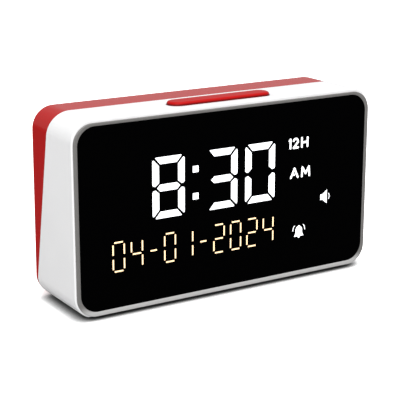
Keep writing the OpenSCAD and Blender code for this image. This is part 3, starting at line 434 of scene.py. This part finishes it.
def behind(at):
    """How far a point lies in front of the leaning rear face, in metres."""
    up = (at.z - sleeve_low.z) / MM / CASE_H
    return cad_low.y + (BACK_BOTTOM + (BACK_TOP - BACK_BOTTOM) * up) * MM - at.y


def cover_radius(edge):
    at = middle(edge)
    if abs(behind(at)) < ON_BACK:
        return COVER_REAR_R if on_skin(edge, cover_low, cover_high) else HOLE_EDGE_R
    return 0


cover = rounded_copy("rear_cover", cover_radius, steps=5)


def door_radius(edge):
    return DOOR_EDGE_R if abs(behind(middle(edge))) < ON_BACK else 0


door = rounded_copy("battery_door", door_radius)

# %% [markdown]
# ## Push bar, buttons, knob and feet
# The buttons and the knob are rounded near their tops, and the feet where they meet the table. The push
# bar is already rounded in the CAD model, so its copy adds nothing and only joins its loose triangles.

# %% Push bar, buttons, knob and feet
def top_radius(node, radius, depth):
    """A radius for the edges within a depth of a piece's rear end, and none for the others."""
    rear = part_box(node)[1].y
    return lambda edge: radius if middle(edge).y > rear - depth else 0


bar = rounded_copy("snooze_bar", lambda edge: 0)
button_names = ["mode", "set", "up", "down", "alarm"]
buttons = {}
for key in button_names:
    buttons[key] = rounded_copy(key + "_button", top_radius(key + "_button", 0.14 * MM, 0.5 * MM))
knob = rounded_copy("slide_knob", top_radius("slide_knob", 0.12 * MM, 0.4 * MM))
feet = rounded_copy("rubber_feet", lambda edge: 0.2 * MM if middle(edge).z < 0.1 * MM else 0)

# %% [markdown]
# ## Marks on the buttons
# Buttons that are found by touch in the dark carry a raised mark each: a ring, a bar, two arrows and a
# bell. Each mark is a thin plate cut to an outline and laid on the button's top. The outline is drawn in
# the button's own plane, across and up, and pushed out along the button's axis.

# %% Marks on the buttons
MARK_RISE = 0.12 * MM
MARK_SINK = 0.02 * MM        # how far a mark's foot goes into the button


def arc(radius, first, last, points=20, up=0.0):
    """Points on an arc from one angle to another, in degrees, about a centre raised by up."""
    turn = [math.radians(first + (last - first) * k / points) for k in range(points + 1)]
    return [(radius * math.cos(a), radius * math.sin(a) + up) for a in turn]


MARKS = {
    "mode": [arc(1.7, 0, 180) + arc(1.2, 180, 0), arc(1.7, 180, 360) + arc(1.2, 360, 180)],
    "set": [[(-1.6, -0.3), (1.6, -0.3), (1.6, 0.3), (-1.6, 0.3)]],
    "up": [[(-1.6, -1.1), (1.6, -1.1), (0, 1.6)]],
    "down": [[(-1.6, 1.1), (0, -1.6), (1.6, 1.1)]],
    "alarm": [[(-1.8, -1.0), (1.8, -1.0), (1.2, -0.3)] + arc(1.2, 0, 180, up=0.4) + [(-1.2, -0.3)],
              [(-0.4, -1.7), (0.4, -1.7), (0.4, -1.25), (-0.4, -1.25)]],
}
marks = {}
for key, outlines in MARKS.items():
    low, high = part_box(key + "_button")
    centre_x, centre_z = (low.x + high.x) / 2, (low.z + high.z) / 2
    shape = bmesh.new()
    for outline in outlines:
        # seen from behind the clock, so across runs towards -X
        corners = [shape.verts.new((centre_x - a * MM, high.y - MARK_SINK, centre_z + b * MM))
                   for a, b in outline]
        face = shape.faces.new(corners)
        top = bmesh.ops.extrude_face_region(shape, geom=[face])
        raised = [v for v in top["geom"] if isinstance(v, bmesh.types.BMVert)]
        bmesh.ops.translate(shape, verts=raised, vec=(0, MARK_SINK + MARK_RISE, 0))
    bmesh.ops.recalc_face_normals(shape, faces=shape.faces)
    mesh = bpy.data.meshes.new(key + "_mark")
    shape.to_mesh(mesh)
    shape.free()
    marks[key] = show(mesh, key + "_mark", cad_nodes[key + "_button"]["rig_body"])
print(len(marks), "marks raised by", round(MARK_RISE / MM, 2), "mm")

# %% [markdown]
# ## Finishes
# Every finish starts from the same idea: no real surface is perfectly even. A shader node group holds
# that idea once, with inputs for the colour and for how coarse and how deep the grain is, and each
# material sets its own values on it.

# %% A group for moulded plastic
def new_group(name, inputs, outputs):
    """An empty shader node group with its sockets, its tree, and its two end nodes."""
    group = bpy.data.node_groups.new(name, "ShaderNodeTree")
    for socket, kind, value in inputs:
        made = group.interface.new_socket(socket, in_out="INPUT", socket_type=kind)
        made.default_value = value
    for socket, kind in outputs:
        group.interface.new_socket(socket, in_out="OUTPUT", socket_type=kind)
    return group, group.nodes.new("NodeGroupInput"), group.nodes.new("NodeGroupOutput")


def noise(group, coordinates, scale, detail=2.0):
    """A noise texture in the piece's own coordinates; scale is a number or a socket."""
    texture = group.nodes.new("ShaderNodeTexNoise")
    texture.inputs["Detail"].default_value = detail
    group.links.new(coordinates.outputs["Object"], texture.inputs["Vector"])
    if isinstance(scale, (int, float)):
        texture.inputs["Scale"].default_value = scale
    else:
        group.links.new(scale, texture.inputs["Scale"])
    return texture.outputs["Fac"]


def stretch(group, value, low, high):
    """Maps 0..1 to low..high; each end is a number or a socket."""
    mapping = group.nodes.new("ShaderNodeMapRange")
    group.links.new(value, mapping.inputs["Value"])
    for socket, end in (("To Min", low), ("To Max", high)):
        if isinstance(end, (int, float)):
            mapping.inputs[socket].default_value = end
        else:
            group.links.new(end, mapping.inputs[socket])
    return mapping.outputs["Result"]


def scaled(group, colour, amount):
    """A colour made darker or lighter by an amount."""
    node = group.nodes.new("ShaderNodeVectorMath")
    node.operation = "SCALE"
    group.links.new(colour, node.inputs[0])
    group.links.new(amount, node.inputs["Scale"])
    return node.outputs["Vector"]


def mixed(group, factor, a, b):
    """Colour a where the factor is 0, colour b where it is 1."""
    node = group.nodes.new("ShaderNodeMix")
    node.data_type = "RGBA"
    group.links.new(factor, node.inputs["Factor"])
    group.links.new(a, node.inputs["A"])
    group.links.new(b, node.inputs["B"])
    return node.outputs["Result"]


def arithmetic(group, operation, a, b):
    """One step of arithmetic; a and b are numbers or sockets."""
    node = group.nodes.new("ShaderNodeMath")
    node.operation = operation
    for socket, end in zip(node.inputs, (a, b)):
        if isinstance(end, (int, float)):
            socket.default_value = end
        else:
            group.links.new(end, socket)
    return node.outputs["Value"]


moulding, start, end = new_group(
    "moulded_plastic",
    [("Colour", "NodeSocketColor", (0.8, 0.8, 0.8, 1)), ("Roughness", "NodeSocketFloat", 0.4),
     ("Grain", "NodeSocketFloat", 2500.0), ("Tone", "NodeSocketFloat", 0.03)],
    [("Colour", "NodeSocketColor"), ("Roughness", "NodeSocketFloat"), ("Height", "NodeSocketFloat")])
coordinates = moulding.nodes.new("ShaderNodeTexCoord")
cloud = noise(moulding, coordinates, 45.0, 3.0)
fine = noise(moulding, coordinates, start.outputs["Grain"])
darker = arithmetic(moulding, "SUBTRACT", 1.0, start.outputs["Tone"])
lighter = arithmetic(moulding, "ADD", 1.0, start.outputs["Tone"])
tone = stretch(moulding, cloud, darker, lighter)
moulding.links.new(scaled(moulding, start.outputs["Colour"], tone), end.inputs["Colour"])
sheen = arithmetic(moulding, "MULTIPLY", start.outputs["Roughness"], stretch(moulding, cloud, 0.9, 1.12))
moulding.links.new(sheen, end.inputs["Roughness"])
moulding.links.new(fine, end.inputs["Height"])
print("moulded_plastic has", len(moulding.nodes), "nodes")

# %% [markdown]
# A material places the group, sets its own values, and wires the results to a Principled BSDF. Numbers
# that stay the same all over a surface, such as how strongly it mirrors, are set on the Principled node
# itself.

# %% Plastic materials
def finish(name, group, values, fixed, grain_depth):
    """A material: a group for what changes over the surface, and fixed values on the Principled node."""
    material, tree = new_material(name)
    output = tree.nodes.new("ShaderNodeOutputMaterial")
    surface = tree.nodes.new("ShaderNodeBsdfPrincipled")
    tree.links.new(surface.outputs["BSDF"], output.inputs["Surface"])
    effect = tree.nodes.new("ShaderNodeGroup")
    effect.node_tree = group
    for socket, value in values.items():
        effect.inputs[socket].default_value = value
    for socket, value in fixed.items():
        surface.inputs[socket].default_value = value
    wiring = {"Colour": "Base Color", "Roughness": "Roughness", "Metallic": "Metallic",
              "Glow": "Emission Color"}
    for socket, target in wiring.items():
        if socket in effect.outputs:
            tree.links.new(effect.outputs[socket], surface.inputs[target])
    if "Height" in effect.outputs:
        bump = tree.nodes.new("ShaderNodeBump")
        bump.inputs["Distance"].default_value = grain_depth
        tree.links.new(effect.outputs["Height"], bump.inputs["Height"])
        tree.links.new(bump.outputs["Normal"], surface.inputs["Normal"])
    return material


def plastic(name, colour, roughness, mirror=0.5, grain=2500.0, tone=0.02, depth=0.01 * MM):
    """A moulded plastic: mirror is how strongly it reflects, depth how deep its grain is."""
    values = {"Colour": (*colour, 1), "Roughness": roughness, "Grain": grain, "Tone": tone}
    return finish(name, moulding, values, {"Specular IOR Level": mirror}, depth)


white = plastic("white_satin_plastic", (0.86, 0.86, 0.865), 0.42, mirror=0.3, tone=0.025)
black_glass = plastic("black_window", (0.0004, 0.0004, 0.0005), 0.08, mirror=0.02, tone=0.2,
                      depth=0.001 * MM)
red = plastic("red_satin_plastic", (0.43, 0.003, 0.0025), 0.24, mirror=0.19, tone=0.04, depth=0.003 * MM)
button_red = plastic("button_red", (0.3, 0.004, 0.006), 0.35, mirror=0.4, tone=0.03)
rubber = plastic("black_rubber", (0.03, 0.03, 0.03), 0.75, mirror=0.3, grain=1500.0, tone=0.15,
                 depth=0.03 * MM)
print("plastic finishes ready")

# %% [markdown]
# ## Painted light and shade that change with height
# The bezel is painted grey. Its lower bar looks clearly lighter than the rest, as it faces up into the
# light, and that light is painted into its colour; the change happens inside the two lower corners. A map
# of the height above the table drives it: the painted colour is dark above the corners and light below them.
# corners and light below them. On a real one this would be a second spray coat through a mask.
# The push bar uses the same group. It is bright red on top and turns darker towards its slot: painted
# shade, where little light gets in.

# %% Painted light and shade that change with height
# The defaults are the bezel's: its own grey above, and a lighter grey below that is painted light.
painted_shading, start, end = new_group(
    "painted_shading_by_height",
    [("Upper", "NodeSocketColor", (0.19, 0.184, 0.178, 1)),
     ("Lower", "NodeSocketColor", (0.52, 0.515, 0.51, 1)),
     ("Begins", "NodeSocketFloat", 0.0075), ("Ends", "NodeSocketFloat", 0.0030)],
    [("Colour", "NodeSocketColor"), ("Roughness", "NodeSocketFloat"), ("Height", "NodeSocketFloat")])
coordinates = painted_shading.nodes.new("ShaderNodeTexCoord")
split = painted_shading.nodes.new("ShaderNodeSeparateXYZ")
painted_shading.links.new(coordinates.outputs["Object"], split.inputs["Vector"])
level = painted_shading.nodes.new("ShaderNodeMapRange")
level.interpolation_type = "SMOOTHSTEP"
painted_shading.links.new(split.outputs["Z"], level.inputs["Value"])
painted_shading.links.new(start.outputs["Begins"], level.inputs["From Min"])
painted_shading.links.new(start.outputs["Ends"], level.inputs["From Max"])
surface_colour = mixed(painted_shading, level.outputs["Result"], start.outputs["Upper"], start.outputs["Lower"])
painted_shading.links.new(surface_colour, end.inputs["Colour"])
flake = noise(painted_shading, coordinates, 4000.0)
painted_shading.links.new(stretch(painted_shading, flake, 0.36, 0.46), end.inputs["Roughness"])
painted_shading.links.new(flake, end.inputs["Height"])
# The bezel takes the defaults, so its lower bar carries painted light.
grey = finish("grey_plastic_with_painted_light", painted_shading, {}, {"Specular IOR Level": 0.5, "Metallic": 0.15}, 0.003 * MM)
bar_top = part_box("snooze_bar")[1].z
# Painted shade: the push bar's red darkens below its top towards the slot.
bar_red = finish("push_bar_red_painted_shade", painted_shading,
                 {"Upper": (0.46, 0.002, 0.002, 1), "Lower": (0.13, 0.001, 0.001, 1),
                  "Begins": bar_top - 0.3 * MM, "Ends": bar_top - 1.4 * MM},
                 {"Specular IOR Level": 0.12}, 0.003 * MM)
print("painted_shading_by_height has", len(painted_shading.nodes), "nodes")

# %% [markdown]
# ## The lit shapes
# The digits are clear plastic let into the black window, lit from behind. Their glow is an emission with
# a very slight change over the surface, as a diffuser sheet never spreads the light quite evenly.

# %% Lit shapes
glow, start, end = new_group(
    "lit_from_behind",
    [("Colour", "NodeSocketColor", (1, 1, 1, 1)), ("Evenness", "NodeSocketFloat", 0.9)],
    [("Colour", "NodeSocketColor"), ("Glow", "NodeSocketColor")])
coordinates = glow.nodes.new("ShaderNodeTexCoord")
cloud = noise(glow, coordinates, 160.0, 1.0)
strength = stretch(glow, cloud, start.outputs["Evenness"], 1.0)
shining = scaled(glow, start.outputs["Colour"], strength)
glow.links.new(shining, end.inputs["Glow"])
glow.links.new(shining, end.inputs["Colour"])


def lit(name, colour, strength):
    return finish(name, glow, {"Colour": (*colour, 1)},
                  {"Emission Strength": strength, "Roughness": 0.3, "Specular IOR Level": 0.1}, 0)


lit_white = lit("lit_white", (0.97, 0.98, 1.0), 1.0)
lit_amber = lit("lit_amber", (1.0, 0.72, 0.42), 1.0)
print("lit shapes ready")

# %% [markdown]
# ## Metal, circuit boards and the rest of the inside
# Zinc plated screws, springs and contacts have fine streaks from rolling or drawing, so their noise is
# stretched along one axis. Circuit boards get copper traces under the green lacquer.

# %% A group for metal
metal_grain, start, end = new_group(
    "drawn_metal",
    [("Colour", "NodeSocketColor", (0.6, 0.6, 0.6, 1)), ("Roughness", "NodeSocketFloat", 0.3),
     ("Grain", "NodeSocketFloat", 900.0)],
    [("Colour", "NodeSocketColor"), ("Roughness", "NodeSocketFloat"), ("Height", "NodeSocketFloat")])
coordinates = metal_grain.nodes.new("ShaderNodeTexCoord")
long_way = metal_grain.nodes.new("ShaderNodeMapping")
long_way.inputs["Scale"].default_value = (1.0, 1.0, 0.12)
metal_grain.links.new(coordinates.outputs["Object"], long_way.inputs["Vector"])
streaks = metal_grain.nodes.new("ShaderNodeTexNoise")
metal_grain.links.new(long_way.outputs["Vector"], streaks.inputs["Vector"])
metal_grain.links.new(start.outputs["Grain"], streaks.inputs["Scale"])
shade = stretch(metal_grain, streaks.outputs["Fac"], 0.88, 1.1)
metal_grain.links.new(scaled(metal_grain, start.outputs["Colour"], shade), end.inputs["Colour"])
wear = stretch(metal_grain, streaks.outputs["Fac"], 0.7, 1.3)
rough = arithmetic(metal_grain, "MULTIPLY", start.outputs["Roughness"], wear)
metal_grain.links.new(rough, end.inputs["Roughness"])
metal_grain.links.new(streaks.outputs["Fac"], end.inputs["Height"])


def metal(name, colour, roughness, depth=0.006 * MM):
    """A bare metal with fine upright streaks."""
    values = {"Colour": (*colour, 1), "Roughness": roughness}
    return finish(name, metal_grain, values, {"Metallic": 1.0}, depth)


zinc = metal("zinc_plate", (0.55, 0.56, 0.58), 0.32)
nickel = metal("nickel_plate", (0.62, 0.59, 0.53), 0.22)
ferrite = metal("ferrite_magnet", (0.11, 0.11, 0.12), 0.5)
print("metals ready")

# %% A group for circuit boards
board, start, end = new_group(
    "circuit_board",
    [("Lacquer", "NodeSocketColor", (0.01, 0.13, 0.05, 1)),
     ("Trace", "NodeSocketColor", (0.03, 0.24, 0.09, 1)),
     ("Spacing", "NodeSocketFloat", 420.0)],
    [("Colour", "NodeSocketColor"), ("Roughness", "NodeSocketFloat"), ("Height", "NodeSocketFloat")])
coordinates = board.nodes.new("ShaderNodeTexCoord")
tracks = board.nodes.new("ShaderNodeTexBrick")
tracks.offset = 0.35
tracks.inputs["Mortar Size"].default_value = 0.06
tracks.inputs["Mortar Smooth"].default_value = 0.1
tracks.inputs["Bias"].default_value = 0.0
tracks.inputs["Color1"].default_value = (0, 0, 0, 1)
tracks.inputs["Color2"].default_value = (0, 0, 0, 1)
tracks.inputs["Mortar"].default_value = (1, 1, 1, 1)
turned = board.nodes.new("ShaderNodeMapping")
turned.inputs["Rotation"].default_value = (math.radians(90), 0, 0)
board.links.new(coordinates.outputs["Object"], turned.inputs["Vector"])
board.links.new(turned.outputs["Vector"], tracks.inputs["Vector"])
board.links.new(start.outputs["Spacing"], tracks.inputs["Scale"])
surface_colour = mixed(board, tracks.outputs["Color"], start.outputs["Lacquer"], start.outputs["Trace"])
board.links.new(surface_colour, end.inputs["Colour"])
board.links.new(stretch(board, tracks.outputs["Color"], 0.32, 0.2), end.inputs["Roughness"])
board.links.new(tracks.outputs["Color"], end.inputs["Height"])
green_board = finish("green_board", board, {}, {}, 0.03 * MM)
print("circuit_board has", len(board.nodes), "nodes")

# %% The rest of the inside
diffuser = plastic("frosted_diffuser", (0.8, 0.8, 0.78), 0.6, mirror=0.3)
reflector = plastic("reflector_white", (0.85, 0.85, 0.85), 0.5)
led_yellow = plastic("led_resin", (0.85, 0.7, 0.25), 0.25)
chip_black = plastic("chip_resin", (0.02, 0.02, 0.022), 0.55, grain=6000.0, depth=0.01 * MM)
ivory = plastic("ivory_nylon", (0.74, 0.7, 0.58), 0.45)
sleeve_blue = plastic("capacitor_sleeve", (0.015, 0.02, 0.1), 0.3)
paper = plastic("cone_paper", (0.05, 0.045, 0.04), 0.85, mirror=0.2, grain=900.0, tone=0.2, depth=0.08 * MM)
basket_black = plastic("basket_paint", (0.03, 0.03, 0.032), 0.4, grain=1800.0)
mark_ivory = plastic("mark_print", (0.62, 0.58, 0.5), 0.5)
foam = plastic("gasket_foam", (0.02, 0.02, 0.02), 0.9, mirror=0.2, grain=700.0, tone=0.3, depth=0.12 * MM)
wire_red = plastic("red_insulation", (0.5, 0.01, 0.01), 0.35)
wire_black = plastic("black_insulation", (0.02, 0.02, 0.02), 0.35)
cable_grey = plastic("grey_insulation", (0.35, 0.35, 0.37), 0.4)
print("inside finishes ready")

# %% [markdown]
# The two cells wear printed jackets: a coloured band at one end and black for the rest. The band lies at
# the end that touches the spring. One group makes both. It compares the place along the cell with where
# its band begins, and the two cells lie head to tail, so each material gives it its own direction.

# %% Battery jackets
banded, start, end = new_group(
    "banded_jacket",
    [("Band", "NodeSocketColor", (0.55, 0.24, 0.07, 1)), ("Rest", "NodeSocketColor", (0.02, 0.02, 0.022, 1)),
     ("Edge", "NodeSocketFloat", 0.0), ("Direction", "NodeSocketFloat", 1.0)],
    [("Colour", "NodeSocketColor"), ("Roughness", "NodeSocketFloat"), ("Metallic", "NodeSocketFloat")])
coordinates = banded.nodes.new("ShaderNodeTexCoord")
split = banded.nodes.new("ShaderNodeSeparateXYZ")
banded.links.new(coordinates.outputs["Object"], split.inputs["Vector"])
past = arithmetic(banded, "SUBTRACT", split.outputs["X"], start.outputs["Edge"])
past = arithmetic(banded, "MULTIPLY", past, start.outputs["Direction"])
in_band = arithmetic(banded, "GREATER_THAN", past, 0.0)
surface_colour = mixed(banded, in_band, start.outputs["Rest"], start.outputs["Band"])
banded.links.new(surface_colour, end.inputs["Colour"])
worn = noise(banded, coordinates, 300.0)
banded.links.new(stretch(banded, worn, 0.24, 0.34), end.inputs["Roughness"])
banded.links.new(stretch(banded, in_band, 0.0, 0.85), end.inputs["Metallic"])


BAND_LENGTH = 14 * MM


def jacket(node, direction):
    """A jacket whose band covers the end that the direction along X points to."""
    low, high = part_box(node)
    tip = high.x if direction > 0 else low.x
    values = {"Edge": tip - direction * BAND_LENGTH, "Direction": direction}
    return finish(node + "_jacket", banded, values, {}, 0)


upper_jacket = jacket("battery_upper", -1.0)
lower_jacket = jacket("battery_lower", 1.0)
print("jackets ready")

# %% [markdown]
# ## Putting the finishes on
# A CAD piece keeps its shape and only has its material changed. A rounded copy gets the finish of the
# piece that it stands for.

# %% Dress every piece
finishes = {
    "front_housing": white, "bezel_ring": grey, "display_window": black_glass, "time_segments": lit_white,
    "date_segments": lit_amber, "status_icons": lit_white, "diffuser_sheet": diffuser,
    "reflector_frame": reflector,
    "display_board": green_board, "led_chips": led_yellow, "clock_chip": chip_black, "quartz_crystal": nickel,
    "board_capacitors": sleeve_blue, "rear_cover": red, "housing_screws": zinc, "board_screws": zinc,
    "rubber_feet": rubber, "snooze_bar": bar_red, "snooze_springs": zinc, "snooze_board": green_board,
    "snooze_switch": chip_black, "snooze_plunger": ivory, "button_board": green_board,
    "button_switches": chip_black, "slide_switch": nickel, "slide_knob": button_red,
    "speaker_basket": basket_black, "speaker_cone": paper, "speaker_magnet": ferrite, "speaker_gasket": foam,
    "speaker_clamp": zinc, "battery_door": red, "battery_upper": upper_jacket, "battery_lower": lower_jacket,
    "battery_springs": nickel, "battery_plates": nickel, "power_board": green_board, "power_socket": nickel,
    "socket_tongue": chip_black, "ribbon_sockets": ivory, "ribbon_cable": cable_grey,
    "speaker_wires": wire_red, "battery_wires": wire_black, "power_wires": wire_red,
    "snooze_wires": wire_black,
}
for key in button_names:
    finishes[key + "_button"] = button_red
    finishes[key + "_plunger"] = ivory

standing_for = {"front_housing": sleeve, "bezel_ring": bezel, "rear_cover": cover, "battery_door": door,
                "snooze_bar": bar, "slide_knob": knob, "rubber_feet": feet,
                **{key + "_button": buttons[key] for key in button_names}}
for node, material in finishes.items():
    for piece in [cad_nodes[node]] + ([standing_for[node]] if node in standing_for else []):
        piece.data.materials.clear()
        piece.data.materials.append(material)
for key, piece in marks.items():
    piece.data.materials.append(mark_ivory)
assert set(finishes) == set(cad_nodes), set(finishes) ^ set(cad_nodes)
print(len(finishes), "pieces dressed")
